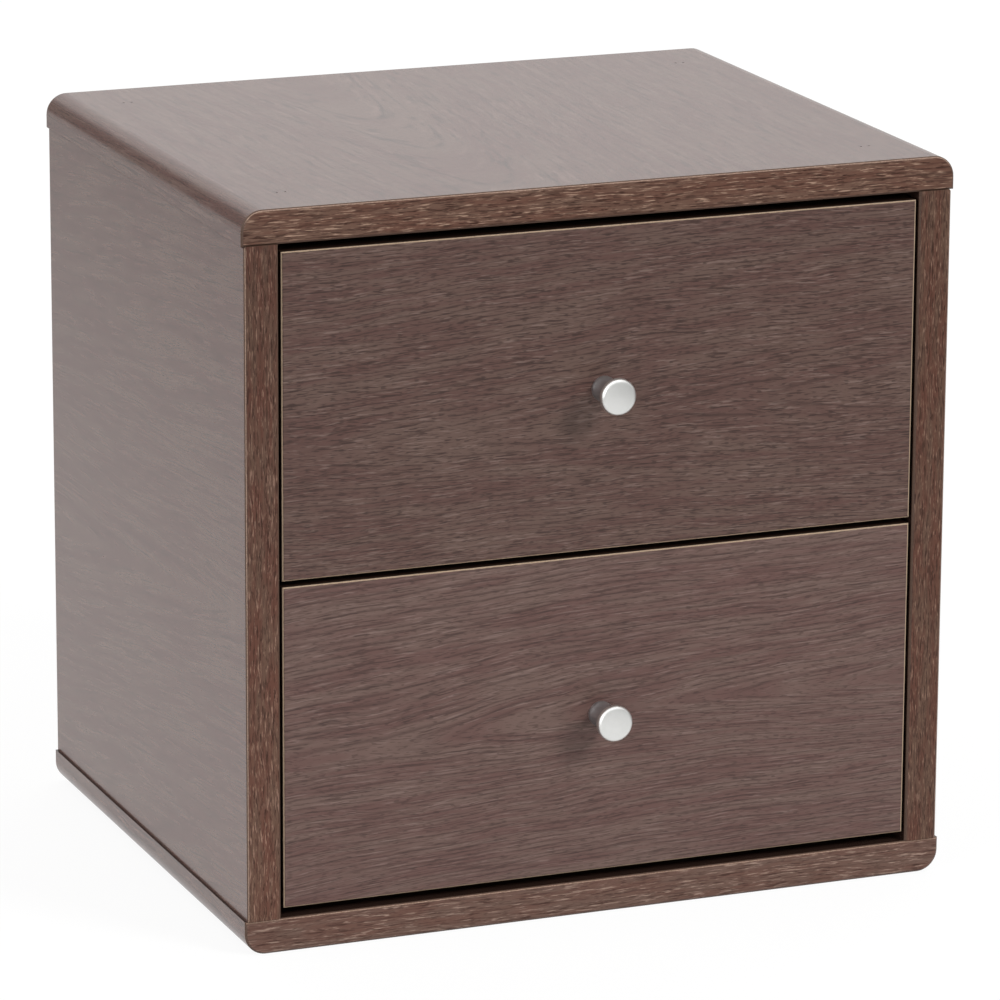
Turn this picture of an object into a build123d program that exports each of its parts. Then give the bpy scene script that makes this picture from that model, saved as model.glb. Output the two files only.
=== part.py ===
from build123d import *
from math import radians, tan
import os

# Drawer storage cube: a case of wrapped boards with two drawers that run on side strips.
# Sizes are in millimetres. The front faces -Y, +X is to the right as seen from the front,
# +Z is up, and the origin is the centre of the underside.

# Case boards
case_width = 344.5  # over the outside of the two side panels
case_depth = 280.0
case_height = 345.0
board = 16.0
panel_overhang = 1.2  # the top and bottom panels stand out past each side
panel_end_radius = 10.0  # rounded outer corner at each end of the top and bottom panels
side_ease = 0.9  # cut on the outer upper corner of each side panel
band_thickness = 1.3  # edge band on the front of each case board
band_land = 0.3  # square edge left behind the trimmed corner of a band

# Pairs of pricks near the corners of the top
prick_radius = 0.5
prick_depth = 2.0
prick_pitch = 4.0
prick_end_inset = 30.25
prick_edge_inset = 32.5

# Back sheet in its groove
back_thickness = 2.5
back_inset = 10.0
back_groove_depth = 6.0

# Drawer fronts, set in the opening with a gap all round
front_gap_top = 3.8
front_gap_between = 2.9
front_gap_bottom = 4.7
front_gap_side = 1.5
front_recess = 0.5
front_thickness = 12.0
front_chamfer = 0.8

# Drawer boxes behind the fronts
box_side_gap = 7.0  # from a drawer side to the case side
box_lift = 14.0  # from the lower edge of the front up to the box
box_drop = 17.0  # from the upper edge of the front down to the box
box_rear_gap = 10.0  # from the box to the back sheet
box_board = 12.0
box_edge_round = 2.0
bottom_thickness = 3.0
bottom_lift = 8.0
bottom_groove_depth = 5.0

# Runner strips on the case sides, in grooves of the drawer sides
runner_height = 12.0
runner_groove_depth = 5.0
runner_rear_gap = 5.0
runner_nose = 3.0
runner_screw_inset = 30.0

# Knob, turned about its own axis
knob_length = 19.5
knob_base_radius = 6.0
knob_foot = 1.5
knob_waist_radius = 5.2
knob_waist_height = 7.0
knob_flare_radius = 6.4
knob_head_radius = 8.5
knob_head_thickness = 5.0
knob_under_slope = 1.0
knob_dome = 0.8
knob_rim_round = 2.2
knob_thread_depth = 9.0
knob_screw_radius = 2.0
knob_screw_head_radius = 4.0
knob_screw_head_height = 2.4
knob_screw_head_round = 1.2

# Dowels of the case and of the drawers
dowel_radius = 4.0
dowel_length = 30.0
dowel_chamfer = 0.8
box_dowel_radius = 3.0
box_dowel_length = 24.0

# Cam fittings: a bolt in one board, held by a disc in the end of the other
cam_radius = 7.5
box_cam_radius = 6.0
cam_slot_width = 1.4
cam_slot_length = 8.0
cam_slot_depth = 1.5
bolt_reach = 24.0  # from the joint to the middle of the cam
bolt_thread_radius = 2.5
bolt_shank_radius = 3.0
bolt_neck_radius = 1.8
bolt_head_radius = 2.6
bolt_head_length = 2.5

# Countersunk screws
screw_radius = 1.75
screw_head_radius = 3.5
screw_tip = 3.0
runner_screw_length = 20.0
back_screw_length = 35.0
countersink_angle = 90.0

# Places of the fittings along the case joints and up the drawer joints
joint_inset = 40.0
joint_pitch = 32.0
box_joint_inset = 15.0
box_joint_pitch = 17.0
box_low_dowel_inset = 28.0
back_screw_inset = 24.0

# Board left past the end of a blind hole, and behind a cam
hole_skin = 3.0
cam_skin = 3.0

# Clearances
pin_clearance = 0.05  # round a dowel, bolt, cam or screw
pin_end_clearance = 0.3  # past the end of a pin in its hole
sheet_clearance = 0.1  # each side of a sheet in its groove
sheet_end_clearance = 0.3  # from the edge of a sheet to the bottom of its groove
run_clearance = 0.3  # between a drawer and the strip that it runs on or stops against

# Planes and lines that the pieces share
front_y = -case_depth / 2
back_y = case_depth / 2
board_front_y = front_y + band_thickness
board_length = case_depth - band_thickness
panel_width = case_width + 2 * panel_overhang
side_outer_x = case_width / 2
side_inner_x = side_outer_x - board
side_mid_x = side_outer_x - board / 2
top_inner_z = case_height - board
opening_width = case_width - 2 * board
opening_height = case_height - 2 * board
middle_level = Plane.XY.offset(case_height / 2)

back_rear_y = back_y - back_inset
back_front_y = back_rear_y - back_thickness
back_reach = back_groove_depth - sheet_end_clearance

front_width = opening_width - 2 * front_gap_side
front_gaps = front_gap_top + front_gap_between + front_gap_bottom
front_height = (opening_height - front_gaps) / 2
front_face_y = front_y + front_recess
front_back_y = front_face_y + front_thickness

box_outer_x = side_inner_x - box_side_gap
box_inner_x = box_outer_x - box_board
box_mid_x = box_outer_x - box_board / 2
box_rear_y = back_front_y - box_rear_gap
box_length = box_rear_y - front_back_y
box_height = front_height - box_lift - box_drop
box_back_y = box_rear_y - box_board
bottom_reach = bottom_groove_depth - sheet_end_clearance

pin_in_panel = board - hole_skin - pin_end_clearance
pin_in_front = front_thickness - hole_skin - pin_end_clearance
dowel_in_side = dowel_length - pin_in_panel
box_dowel_in_side = box_dowel_length - pin_in_front
cam_depth = board - cam_skin - pin_clearance
box_cam_depth = box_board - cam_skin - pin_clearance
band_chamfer = band_thickness - band_land

runner_inner_x = box_outer_x - runner_groove_depth + run_clearance
runner_thickness = side_inner_x - runner_inner_x
runner_front_y = front_back_y + run_clearance
runner_rear_y = back_front_y - runner_rear_gap
runner_length = runner_rear_y - runner_front_y

lower_front_z = board + front_gap_bottom
upper_front_z = lower_front_z + front_height + front_gap_between
levels = {"lower": lower_front_z, "upper": upper_front_z}
sides = {"left": -1, "right": 1}

cam_rows = (front_y + joint_inset, back_y - joint_inset)
dowel_rows = (cam_rows[0] + joint_pitch, cam_rows[1] - joint_pitch)
case_ends = ((board, 1), (top_inner_z, -1))  # height of a joint, and its way into the side
from_base = (Align.CENTER, Align.CENTER, Align.MIN)


def facing_front(y):
    return Plane.XZ.offset(-y)


def panel_outline():
    # Front outline of the bottom panel, with its lower corners rounded
    with Locations((0, board / 2)):
        Rectangle(panel_width, board)
    fillet(vertices().group_by(Axis.Y)[0], panel_end_radius)


def side_outline(way):
    # Front outline of a side panel, with its outer upper corner cut
    with Locations((way * side_mid_x, case_height / 2)):
        Rectangle(board, opening_height)
    upper_corners = vertices().group_by(Axis.Y)[-1]
    chamfer(upper_corners.sort_by(lambda corner: abs(corner.X))[-1], side_ease)


def runner_level(front_z):
    return front_z + box_lift + box_height / 2


def case_joints(rows):
    # Planes on the ends of both side panels, with their normals into the side panel
    return [
        Plane(origin=(way_x * side_mid_x, y, z), x_dir=(1, 0, 0), z_dir=(0, 0, way_z))
        for way_x in sides.values()
        for z, way_z in case_ends
        for y in rows
    ]


def case_cam_faces():
    # Planes on the inner faces of the side panels, normals into the board, X towards the joint
    return [
        Plane(
            origin=(way_x * side_inner_x, y, z + way_z * bolt_reach),
            x_dir=(0, 0, -way_z),
            z_dir=(way_x, 0, 0),
        )
        for way_x in sides.values()
        for z, way_z in case_ends
        for y in cam_rows
    ]


def runner_screw_faces(front_z):
    # Planes on the inner faces of one level's two runners, normals out of the strip
    middle_y = (runner_front_y + runner_rear_y) / 2
    rows = (runner_front_y + runner_screw_inset, middle_y, runner_rear_y - runner_screw_inset)
    return [
        Plane(origin=(way * runner_inner_x, y, runner_level(front_z)), x_dir=(0, 1, 0), z_dir=(-way, 0, 0))
        for way in sides.values()
        for y in rows
    ]


def front_joints(heights):
    # Planes on the back of a drawer front, with their normals into the drawer sides
    return [
        Plane(origin=(way * box_mid_x, front_back_y, z), x_dir=(1, 0, 0), z_dir=(0, 1, 0))
        for way in sides.values()
        for z in heights
    ]


def box_cam_faces(height):
    # Planes on the inner faces of the drawer sides, normals into the board, X towards the front
    cam_y = front_back_y + bolt_reach
    return [
        Plane(origin=(way * box_inner_x, cam_y, height), x_dir=(0, -1, 0), z_dir=(way, 0, 0))
        for way in sides.values()
    ]


def back_screw_faces(heights):
    # Planes on the outer faces of the drawer sides, normals away from the drawer
    screw_y = box_rear_y - box_board / 2
    return [
        Plane(origin=(way * box_outer_x, screw_y, z), x_dir=(0, 1, 0), z_dir=(way, 0, 0))
        for way in sides.values()
        for z in heights
    ]


def pin_hole(radius, below, above):
    # Cut a round hole at the places in use, from below to above their planes
    with Locations((0, 0, -below)):
        Cylinder(radius, below + above, align=from_base, mode=Mode.SUBTRACT)


def dowel(radius, length, buried):
    with BuildPart() as pin:
        with Locations((0, 0, -buried)):
            Cylinder(radius, length, align=from_base)
        chamfer(pin.edges().filter_by(GeomType.CIRCLE), dowel_chamfer)
    return pin.part


def cam_bolt(buried, disc_radius):
    neck_start = bolt_reach - disc_radius - pin_end_clearance
    head_start = bolt_reach - bolt_head_length / 2
    head_end = bolt_reach + bolt_head_length / 2
    with BuildPart() as bolt:
        with BuildSketch(Plane.XZ):
            with BuildLine():
                Polyline(
                    (0, -buried),
                    (bolt_thread_radius, -buried),
                    (bolt_thread_radius, 0),
                    (bolt_shank_radius, 0),
                    (bolt_shank_radius, neck_start),
                    (bolt_neck_radius, neck_start),
                    (bolt_neck_radius, head_start),
                    (bolt_head_radius, head_start),
                    (bolt_head_radius, head_end),
                    (0, head_end),
                    close=True,
                )
            make_face()
        revolve(axis=Axis.Z)
    return bolt.part


def cam_disc(radius, depth, bolt_depth):
    # Its face is at the origin, it goes into the board along Z, and the bolt comes from +X
    head_room = bolt_head_length / 2 + pin_end_clearance
    with BuildPart() as disc:
        Cylinder(radius, depth, align=from_base)
        with BuildSketch(Plane.YZ.offset(-head_room)):
            with Locations((0, bolt_depth)):
                Circle(bolt_head_radius + pin_clearance)
        extrude(amount=head_room + radius, mode=Mode.SUBTRACT)
        with BuildSketch():
            Rectangle(cam_slot_length, cam_slot_width)
        extrude(amount=cam_slot_depth, mode=Mode.SUBTRACT)
    return disc.part


def countersunk_screw(length):
    # Its head is flush with the origin and its tip points down
    cone = (screw_head_radius - screw_radius) / tan(radians(countersink_angle / 2))
    with BuildPart() as screw:
        with BuildSketch(Plane.XZ):
            with BuildLine():
                Polyline(
                    (0, 0),
                    (screw_head_radius, 0),
                    (screw_radius, -cone),
                    (screw_radius, screw_tip - length),
                    (0, -length),
                    close=True,
                )
            make_face()
        revolve(axis=Axis.Z)
    return screw.part


def screw_hole(depth):
    CounterSinkHole(
        screw_radius + pin_clearance,
        screw_head_radius + pin_clearance,
        depth,
        countersink_angle,
    )


def save(piece, name):
    piece.part.label = name
    export_step(piece.part, f"parts/{name}.step")


os.makedirs("parts", exist_ok=True)

# Bottom panel: rounded lower corners, holes for the joints, groove for the back sheet
with BuildPart() as bottom_panel:
    with BuildSketch(facing_front(back_y)):
        panel_outline()
    extrude(amount=board_length)
    with BuildSketch(facing_front(back_rear_y + sheet_clearance)):
        with Locations((0, board - back_groove_depth / 2)):
            Rectangle(opening_width + 2 * back_groove_depth, back_groove_depth)
    extrude(amount=back_thickness + 2 * sheet_clearance, mode=Mode.SUBTRACT)
    with Locations(*case_joints(dowel_rows)):
        pin_hole(dowel_radius + pin_clearance, pin_in_panel + pin_end_clearance, 0)
    with Locations(*case_joints(cam_rows)):
        pin_hole(bolt_thread_radius + pin_clearance, pin_in_panel + pin_end_clearance, 0)
save(bottom_panel, "bottom_panel")

# Top panel: the same board turned over, with the pricks near its corners
with BuildPart() as top_panel:
    mirror(bottom_panel.part, about=middle_level)
    with Locations(Plane.XY.offset(case_height)):
        with GridLocations(panel_width - 2 * prick_end_inset, case_depth - 2 * prick_edge_inset, 2, 2):
            with GridLocations(prick_pitch, 0, 2, 1):
                Hole(prick_radius, prick_depth)
save(top_panel, "top_panel")

# Side panels: between the top and bottom, with the cam pockets and runner screw holes inside
with BuildPart() as left_side_panel:
    with BuildSketch(facing_front(back_y)):
        side_outline(sides["left"])
    extrude(amount=board_length)
    with BuildSketch(facing_front(back_rear_y + sheet_clearance)):
        with Locations((-side_inner_x - back_groove_depth / 2, case_height / 2)):
            Rectangle(back_groove_depth, opening_height)
    extrude(amount=back_thickness + 2 * sheet_clearance, mode=Mode.SUBTRACT)
    with Locations(*case_joints(dowel_rows)):
        pin_hole(dowel_radius + pin_clearance, 0, dowel_in_side + pin_end_clearance)
    with Locations(*case_joints(cam_rows)):
        pin_hole(bolt_shank_radius + pin_clearance, 0, bolt_reach)
    with Locations(*case_cam_faces()):
        pin_hole(cam_radius + pin_clearance, 0, cam_depth + pin_clearance)
    for front_z in levels.values():
        with Locations(*runner_screw_faces(front_z)):
            pin_hole(screw_radius + pin_clearance, runner_screw_length + pin_end_clearance, 0)
save(left_side_panel, "left_side_panel")

with BuildPart() as right_side_panel:
    mirror(left_side_panel.part, about=Plane.YZ)
save(right_side_panel, "right_side_panel")

# Back sheet, held in the grooves of all four boards
with BuildPart() as back_panel:
    with BuildSketch(facing_front(back_rear_y)):
        with Locations((0, case_height / 2)):
            Rectangle(opening_width + 2 * back_reach, opening_height + 2 * back_reach)
    extrude(amount=back_thickness)
save(back_panel, "back_panel")

# Edge bands: each has the outline of the board that it covers, with trimmed front edges
with BuildPart() as bottom_edge_band:
    with BuildSketch(facing_front(board_front_y)):
        panel_outline()
    extrude(amount=band_thickness)
    chamfer(bottom_edge_band.faces().sort_by(Axis.Y)[0].edges(), band_chamfer)
save(bottom_edge_band, "bottom_edge_band")

with BuildPart() as top_edge_band:
    mirror(bottom_edge_band.part, about=middle_level)
save(top_edge_band, "top_edge_band")

for side, way in sides.items():
    with BuildPart() as side_edge_band:
        with BuildSketch(facing_front(board_front_y)):
            side_outline(way)
        extrude(amount=band_thickness)
        long_edges = side_edge_band.faces().sort_by(Axis.Y)[0].edges().filter_by(Axis.Z)
        chamfer(long_edges, band_chamfer)
    save(side_edge_band, f"{side}_edge_band")

# Fittings that hold the case together
case_dowel = dowel(dowel_radius, dowel_length, pin_in_panel)
with BuildPart() as carcass_dowels:
    with Locations(*case_joints(dowel_rows)):
        add(case_dowel)
save(carcass_dowels, "carcass_dowels")

case_bolt = cam_bolt(pin_in_panel, cam_radius)
with BuildPart() as carcass_cam_bolts:
    with Locations(*case_joints(cam_rows)):
        add(case_bolt)
save(carcass_cam_bolts, "carcass_cam_bolts")

case_cam = cam_disc(cam_radius, cam_depth, board / 2)
with BuildPart() as carcass_cam_discs:
    with Locations(*case_cam_faces()):
        add(case_cam)
save(carcass_cam_discs, "carcass_cam_discs")

# Runner strips, with a slanted nose to lead the drawer on
for level, front_z in levels.items():
    for side, way in sides.items():
        with BuildPart() as runner:
            with BuildSketch(facing_front(runner_rear_y)):
                with Locations((way * (runner_inner_x + runner_thickness / 2), runner_level(front_z))):
                    Rectangle(runner_thickness, runner_height)
            extrude(amount=runner_length)
            nose = runner.faces().sort_by(Axis.Y)[0].edges().filter_by(Axis.Z)
            chamfer(nose.sort_by(lambda edge: abs(edge.center().X))[0], runner_nose)
            with Locations(*runner_screw_faces(front_z)):
                screw_hole(runner_thickness)
        save(runner, f"{level}_{side}_runner")

runner_screw = countersunk_screw(runner_screw_length)
with BuildPart() as runner_screws:
    for front_z in levels.values():
        with Locations(*runner_screw_faces(front_z)):
            add(runner_screw)
save(runner_screws, "runner_screws")

# Fittings and knob that both drawers use
box_dowel = dowel(box_dowel_radius, box_dowel_length, pin_in_front)
box_bolt = cam_bolt(pin_in_front, box_cam_radius)
box_cam = cam_disc(box_cam_radius, box_cam_depth, box_board / 2)
back_screw = countersunk_screw(back_screw_length)

head_base = knob_length - knob_head_thickness
rim_top = knob_length - knob_dome
with BuildPart() as turned_knob:
    with BuildSketch(Plane.XZ):
        with BuildLine():
            Polyline((0, knob_length), (0, 0), (knob_base_radius, 0), (knob_base_radius, knob_foot))
            ThreePointArc(
                (knob_base_radius, knob_foot),
                (knob_waist_radius, knob_waist_height),
                (knob_flare_radius, head_base),
            )
            Polyline(
                (knob_flare_radius, head_base),
                (knob_head_radius, head_base + knob_under_slope),
                (knob_head_radius, rim_top),
            )
            TangentArc((0, knob_length), (knob_head_radius, rim_top), tangent=(1, 0))
        make_face()
        fillet(vertices().group_by(Axis.X)[-1].sort_by(Axis.Y)[-1], knob_rim_round)
    revolve(axis=Axis.Z)
    pin_hole(knob_screw_radius + pin_clearance, 0, knob_thread_depth + pin_end_clearance)

with BuildPart() as pan_screw:
    Cylinder(knob_screw_head_radius, knob_screw_head_height, align=from_base)
    fillet(pan_screw.edges().filter_by(GeomType.CIRCLE).sort_by(Axis.Z)[-1], knob_screw_head_round)
    with Locations((0, 0, -front_thickness - knob_thread_depth)):
        Cylinder(knob_screw_radius, front_thickness + knob_thread_depth, align=from_base)

# The two drawers
for level, front_z in levels.items():
    box_z = front_z + box_lift
    box_top_z = box_z + box_height
    bottom_z = box_z + bottom_lift
    high_dowel_z = box_top_z - box_joint_inset
    bolt_z = high_dowel_z - box_joint_pitch
    dowel_heights = (box_z + box_low_dowel_inset, high_dowel_z)
    screw_heights = (box_z + back_screw_inset, box_top_z - back_screw_inset)
    knob_z = front_z + front_height / 2
    groove_height = bottom_thickness + 2 * sheet_clearance
    groove_middle_z = bottom_z + bottom_thickness / 2
    groove_width = 2 * (box_inner_x + bottom_groove_depth)
    groove_length = box_back_y + bottom_groove_depth - front_back_y

    # Front: raw chamfered edges, groove and holes in its back
    with BuildPart() as front:
        with BuildSketch(facing_front(front_back_y)):
            with Locations((0, knob_z)):
                Rectangle(front_width, front_height)
        extrude(amount=front_thickness)
        chamfer(front.faces().sort_by(Axis.Y)[0].edges(), front_chamfer)
        with BuildSketch(facing_front(front_back_y)):
            with Locations((0, groove_middle_z)):
                Rectangle(groove_width, groove_height)
        extrude(amount=bottom_groove_depth, mode=Mode.SUBTRACT)
        with Locations(*front_joints(dowel_heights)):
            pin_hole(box_dowel_radius + pin_clearance, pin_in_front + pin_end_clearance, 0)
        with Locations(*front_joints((bolt_z,))):
            pin_hole(bolt_thread_radius + pin_clearance, pin_in_front + pin_end_clearance, 0)
        with Locations(facing_front(front_face_y) * Location((0, knob_z, 0))):
            pin_hole(knob_screw_radius + pin_clearance, front_thickness, 0)
    save(front, f"{level}_drawer_front")

    # Sides: runner groove outside, bottom groove inside, rounded upper edges
    with BuildPart() as left_side:
        with BuildSketch(facing_front(box_rear_y)):
            with Locations((-box_mid_x, box_z + box_height / 2)):
                Rectangle(box_board, box_height)
            fillet(vertices().group_by(Axis.Y)[-1], box_edge_round)
            with Locations((-box_outer_x + runner_groove_depth / 2, runner_level(front_z))):
                Rectangle(runner_groove_depth, runner_height + 2 * run_clearance, mode=Mode.SUBTRACT)
        extrude(amount=box_length)
        with BuildSketch(facing_front(box_back_y + bottom_groove_depth)):
            with Locations((-box_inner_x - bottom_groove_depth / 2, groove_middle_z)):
                Rectangle(bottom_groove_depth, groove_height)
        extrude(amount=groove_length, mode=Mode.SUBTRACT)
        with Locations(*front_joints(dowel_heights)):
            pin_hole(box_dowel_radius + pin_clearance, 0, box_dowel_in_side + pin_end_clearance)
        with Locations(*front_joints((bolt_z,))):
            pin_hole(bolt_shank_radius + pin_clearance, 0, bolt_reach)
        with Locations(*box_cam_faces(bolt_z)):
            pin_hole(box_cam_radius + pin_clearance, 0, box_cam_depth + pin_clearance)
        with Locations(*back_screw_faces(screw_heights)):
            screw_hole(box_board)
    save(left_side, f"{level}_drawer_left_side")

    with BuildPart() as right_side:
        mirror(left_side.part, about=Plane.YZ)
    save(right_side, f"{level}_drawer_right_side")

    # Back: between the sides
    with BuildPart() as back:
        with BuildSketch(Plane.YZ.offset(-box_inner_x)):
            with Locations((box_rear_y - box_board / 2, box_z + box_height / 2)):
                Rectangle(box_board, box_height)
            fillet(vertices().group_by(Axis.Y)[-1], box_edge_round)
            with Locations((box_back_y + bottom_groove_depth / 2, groove_middle_z)):
                Rectangle(bottom_groove_depth, groove_height, mode=Mode.SUBTRACT)
        extrude(amount=2 * box_inner_x)
        with Locations(*back_screw_faces(screw_heights)):
            pin_hole(screw_radius + pin_clearance, back_screw_length + pin_end_clearance, 0)
    save(back, f"{level}_drawer_back")

    # Bottom sheet, in the grooves of the front, the sides and the back
    with BuildPart() as bottom:
        with BuildSketch(Plane.XY.offset(bottom_z)):
            with Locations((0, (front_back_y + box_back_y) / 2)):
                Rectangle(2 * (box_inner_x + bottom_reach), box_back_y - front_back_y + 2 * bottom_reach)
        extrude(amount=bottom_thickness)
    save(bottom, f"{level}_drawer_bottom")

    with BuildPart() as dowels:
        with Locations(*front_joints(dowel_heights)):
            add(box_dowel)
    save(dowels, f"{level}_drawer_dowels")

    with BuildPart() as bolts:
        with Locations(*front_joints((bolt_z,))):
            add(box_bolt)
    save(bolts, f"{level}_drawer_cam_bolts")

    with BuildPart() as discs:
        with Locations(*box_cam_faces(bolt_z)):
            add(box_cam)
    save(discs, f"{level}_drawer_cam_discs")

    with BuildPart() as back_screws:
        with Locations(*back_screw_faces(screw_heights)):
            add(back_screw)
    save(back_screws, f"{level}_drawer_back_screws")

    # Knob on the middle of the front, with its screw from inside the drawer
    with BuildPart() as knob:
        with Locations(facing_front(front_face_y) * Location((0, knob_z, 0))):
            add(turned_knob.part)
    save(knob, f"{level}_drawer_knob")

    with BuildPart() as knob_screw:
        with Locations(Plane(origin=(0, front_back_y, knob_z), x_dir=(1, 0, 0), z_dir=(0, 1, 0))):
            add(pan_screw.part)
    save(knob_screw, f"{level}_drawer_knob_screw")
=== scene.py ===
import math
from functools import partial

import bpy
from mathutils import Matrix, Vector


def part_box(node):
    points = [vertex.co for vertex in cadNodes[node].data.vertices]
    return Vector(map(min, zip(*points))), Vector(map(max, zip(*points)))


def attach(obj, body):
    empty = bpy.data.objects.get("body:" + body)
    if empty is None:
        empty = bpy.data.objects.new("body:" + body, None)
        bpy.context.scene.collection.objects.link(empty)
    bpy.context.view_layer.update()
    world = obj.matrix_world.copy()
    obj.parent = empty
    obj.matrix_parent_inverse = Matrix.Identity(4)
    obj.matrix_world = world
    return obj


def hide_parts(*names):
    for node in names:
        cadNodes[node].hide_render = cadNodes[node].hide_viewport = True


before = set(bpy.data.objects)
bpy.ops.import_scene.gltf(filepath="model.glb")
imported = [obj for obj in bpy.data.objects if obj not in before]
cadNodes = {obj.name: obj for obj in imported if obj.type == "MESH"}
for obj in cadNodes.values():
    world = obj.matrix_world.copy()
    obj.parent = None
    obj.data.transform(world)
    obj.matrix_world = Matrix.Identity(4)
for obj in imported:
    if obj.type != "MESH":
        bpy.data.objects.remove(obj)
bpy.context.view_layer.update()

mm = 0.001  # the scene is in metres, sizes below are in millimetres
print("frame loaded:", len(cadNodes), "nodes")


def linear(hexText):
    # sRGB hex to the linear colour that the shaders use
    parts = [int(hexText[i:i + 2], 16) / 255 for i in (1, 3, 5)]
    return (*(p / 12.92 if p <= 0.04045 else ((p + 0.055) / 1.055) ** 2.4 for p in parts), 1.0)


def addNode(tree, kind, settings=(), links=()):
    # settings are properties or unlinked inputs, links are inputs fed by a node or a socket
    node = tree.nodes.new(kind)
    for key, value in dict(settings).items():
        if isinstance(key, str) and hasattr(node, key):
            setattr(node, key, value)
        else:
            findSocket(node.inputs, key).default_value = value
    for key, source in dict(links).items():
        for one in source if isinstance(source, list) else [source]:
            if isinstance(one, bpy.types.Node):
                one = next(s for s in one.outputs if s.enabled)
            tree.links.new(one, findSocket(node.inputs, key))
    return node


def findSocket(sockets, key):
    if isinstance(key, int):
        return sockets[key]
    return next(s for s in sockets if s.name == key and s.enabled)


def startMaterial(name):
    material = bpy.data.materials.new(name)
    material.use_nodes = True
    material.node_tree.nodes.clear()
    return material, partial(addNode, material.node_tree)


# Camera, where the photograph was taken from
viewpoint = {
    "place": (-1040.6, -2599.6, 918.1),  # mm
    "yaw": 21.926,  # degrees to the right of straight on
    "pitch": 15.104,  # degrees down
    "roll": 0.305,
    "lens": 218.98,  # mm on the sensor below
    "sensor": 36.0,
    "clipEnd": 100.0,  # metres
}


def makeCamera():
    data = bpy.data.cameras.new("photoCamera")
    data.lens = viewpoint["lens"]
    data.sensor_width = viewpoint["sensor"]
    data.clip_end = viewpoint["clipEnd"]
    camera = bpy.data.objects.new("photoCamera", data)
    place = Matrix.Translation(Vector(viewpoint["place"]) * mm)
    yaw = Matrix.Rotation(-math.radians(viewpoint["yaw"]), 4, "Z")
    pitch = Matrix.Rotation(math.radians(90 - viewpoint["pitch"]), 4, "X")
    roll = Matrix.Rotation(math.radians(viewpoint["roll"]), 4, "Z")
    camera.matrix_world = place @ yaw @ pitch @ roll
    bpy.context.scene.collection.objects.link(camera)
    bpy.context.scene.camera = camera


# Strip of white sheet in a room that is bright behind and above, and darker at the front and the left
studio = {
    "ambient": 0.24,  # what the room gives to matt surfaces
    "behind": 0.97,  # what shiny surfaces mirror of the room, by direction
    "sides": {  # axis, where it begins, where it is full, level
        "leftGap": ("X", -0.08, -0.28, 0.16),
        "left": ("X", -0.30, -0.38, 0.3),
        "front": ("Y", 0.3, -0.3, 0.7),
        "above": ("Z", 0.35, 0.85, 1.2),
    },
    "floorSize": 16.0,  # metres
    "floorDrop": 0.2,  # mm below the object, so that the faces don't coincide
    "floorColour": "#EDEDED",
    "floorGlow": 0.92,  # share of the floor's white that no shadow takes away
    "sheetFrom": 0.15,  # metres to either side, where the white sheet begins to fall off
    "sheetTo": 1.25,
    "sheetEnd": 0.3,
    "farFrom": 1.4,  # metres behind, where it rises to the backdrop
    "farTo": 2.4,
    "farEnd": 0.7,
    "lamps": {
        "keyLamp": {"from": (0.45, -0.62, 0.51), "power": 2.1, "spread": 18, "mirrored": False},
        "sideLamp": {"from": (0.85, -0.50, 0.10), "power": 0.35, "spread": 20, "mirrored": False},
        "fillLamp": {"from": (-0.90, -0.15, 0.22), "power": 2.4, "spread": 70},
        "skyLamp": {"from": (0.1, 0.1, 1.0), "power": 0.85, "spread": 80},
        "backLamp": {"from": (0.3, 0.7, 0.65), "power": 1.0, "spread": 60, "mirrored": False},
    },
}


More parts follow.
